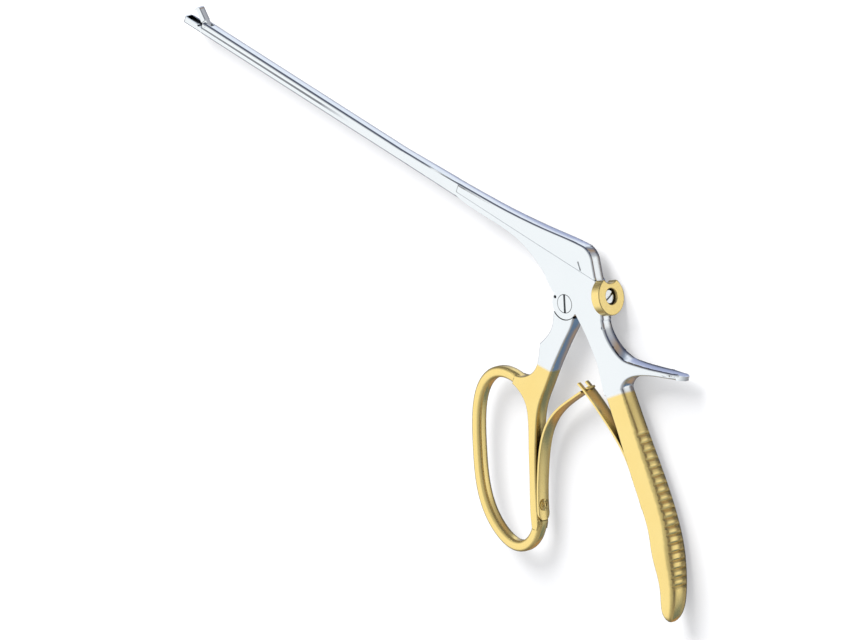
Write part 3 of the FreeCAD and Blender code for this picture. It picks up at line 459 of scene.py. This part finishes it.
# Heights, by the sine of the angle from the horizon, over which one part passes into the next.
CEILING_RISE = (0.36, 0.80)
RING_TOP = (-0.55, -0.35)
RING_FOOT = (-0.86, -0.78)
# Compass direction in degrees and colour, of the room and of the ring of cards.
ROOM = [
    (-180, (0.10, 0.11, 0.15)),
    (-120, (0.06, 0.07, 0.12)),
    (-80, (0.15, 0.15, 0.17)),
    (-48, (0.36, 0.35, 0.35)),
    (-15, (0.30, 0.29, 0.30)),
    (8, (0.08, 0.09, 0.13)),
    (35, (0.22, 0.18, 0.16)),
    (62, (0.07, 0.08, 0.12)),
    (120, (0.05, 0.06, 0.11)),
    (150, (0.06, 0.06, 0.09)),
    (180, (0.10, 0.11, 0.15)),
]
RING = [
    (-180, (0.34, 0.38, 0.56)),
    (-172, (0.12, 0.13, 0.18)),
    (-135, (0.14, 0.15, 0.20)),
    (-95, (0.38, 0.27, 0.18)),
    (-68, (0.40, 0.25, 0.14)),
    (-58, (0.18, 0.19, 0.22)),
    (-50, (0.12, 0.18, 0.27)),
    (-25, (0.14, 0.21, 0.31)),
    (-5, (0.60, 0.62, 0.66)),
    (15, WHITE),
    (38, (0.95, 0.95, 0.95)),
    (52, (0.55, 0.55, 0.56)),
    (72, (0.40, 0.40, 0.44)),
    (92, (0.38, 0.26, 0.17)),
    (118, (0.20, 0.24, 0.32)),
    (134, (0.88, 0.92, 1.00)),
    (147, (0.88, 0.91, 1.00)),
    (158, (0.46, 0.50, 0.70)),
    (180, (0.34, 0.38, 0.56)),
]


def by_compass(studio, compass, stops):
    """The colour in a compass direction, which runs from 0 to 1."""
    return studio.ramp(compass, [((degrees + 180) / 360, colour) for degrees, colour in stops])


def mirrored_studio(studio, outwards):
    """The colour that polished metal mirrors in a direction."""
    east, north, height = studio.add("ShaderNodeSeparateXYZ", Vector=outwards).outputs
    card = studio.ramp(studio.vector("DOT_PRODUCT", outwards, TO_CARD), CARD)
    compass = studio.spread(studio.math("ARCTAN2", north, east), 0.0, 1.0, -math.pi, math.pi)
    room = by_compass(studio, compass, ROOM)
    ring = by_compass(studio, compass, RING)
    under_ceiling = studio.blend(studio.spread(height, 0.0, 1.0, *CEILING_RISE), room, CEILING)
    overhead = studio.blend(card, under_ceiling, (*WHITE, 1.0))
    in_ring = studio.math("MULTIPLY", studio.spread(height, 1.0, 0.0, *RING_TOP),
                          studio.spread(height, 0.0, 1.0, *RING_FOOT))
    return studio.blend(in_ring, overhead, ring)


def build_studio():
    world = bpy.data.worlds.new("Studio")
    bpy.context.scene.world = world
    world.use_nodes = True
    studio = Shader(world.node_tree)
    outwards = studio.add("ShaderNodeTexCoord").outputs["Generated"]
    ray = studio.add("ShaderNodeLightPath")
    around = studio.blend(ray.outputs["Is Glossy Ray"], TENT, mirrored_studio(studio, outwards))
    background = studio.tree.nodes["Background"]
    studio.set(background.inputs["Color"], around)
    background.inputs["Strength"].default_value = 1.0


build_studio()


def light(name, target, towards, distance, size, energy):
    """A square lamp that shines on target from the way towards."""
    data = bpy.data.lights.new(name, "AREA")
    data.size = size
    data.energy = energy
    lamp = bpy.data.objects.new(name, data)
    bpy.context.collection.objects.link(lamp)
    way = towards.normalized()
    lamp.location = target + way * distance
    lamp.rotation_euler = way.to_track_quat("Z", "Y").to_euler()
    return lamp


# The key light stands beyond the jaws and the slider, so the shadow falls towards the grip.
key = light("Key", near(-58.0, -37.0), Vector((-0.77, 1.09, 1.0)), distance=1.2, size=0.8, energy=23.0)
key.visible_glossy = False

# The picture's right-hand side, roughly, and the metres that its width shows.
PICTURE_RIGHT = Vector((0.7129, 0.2493, -0.6555))
PICTURE_WIDTH = 0.3159
CAMERA_DISTANCE = 2.0


def aim_camera(centre):
    """Looks down on the side at centre, rolled as in the photograph."""
    back = TO_CAMERA.normalized()
    right = (PICTURE_RIGHT - back * PICTURE_RIGHT.dot(back)).normalized()
    up = back.cross(right)
    camera = bpy.data.cameras.new("Camera")
    camera.type = "ORTHO"
    camera.ortho_scale = PICTURE_WIDTH
    camera.clip_end = 20.0
    eye = bpy.data.objects.new("Camera", camera)
    bpy.context.collection.objects.link(eye)
    turn = Matrix((right, up, back)).transposed()
    eye.matrix_world = Matrix.Translation(centre + back * CAMERA_DISTANCE) @ turn.to_4x4()
    bpy.context.scene.camera = eye


aim_camera(near(-58.6, -37.4, 3.0))
bpy.context.scene.view_settings.view_transform = "Standard"
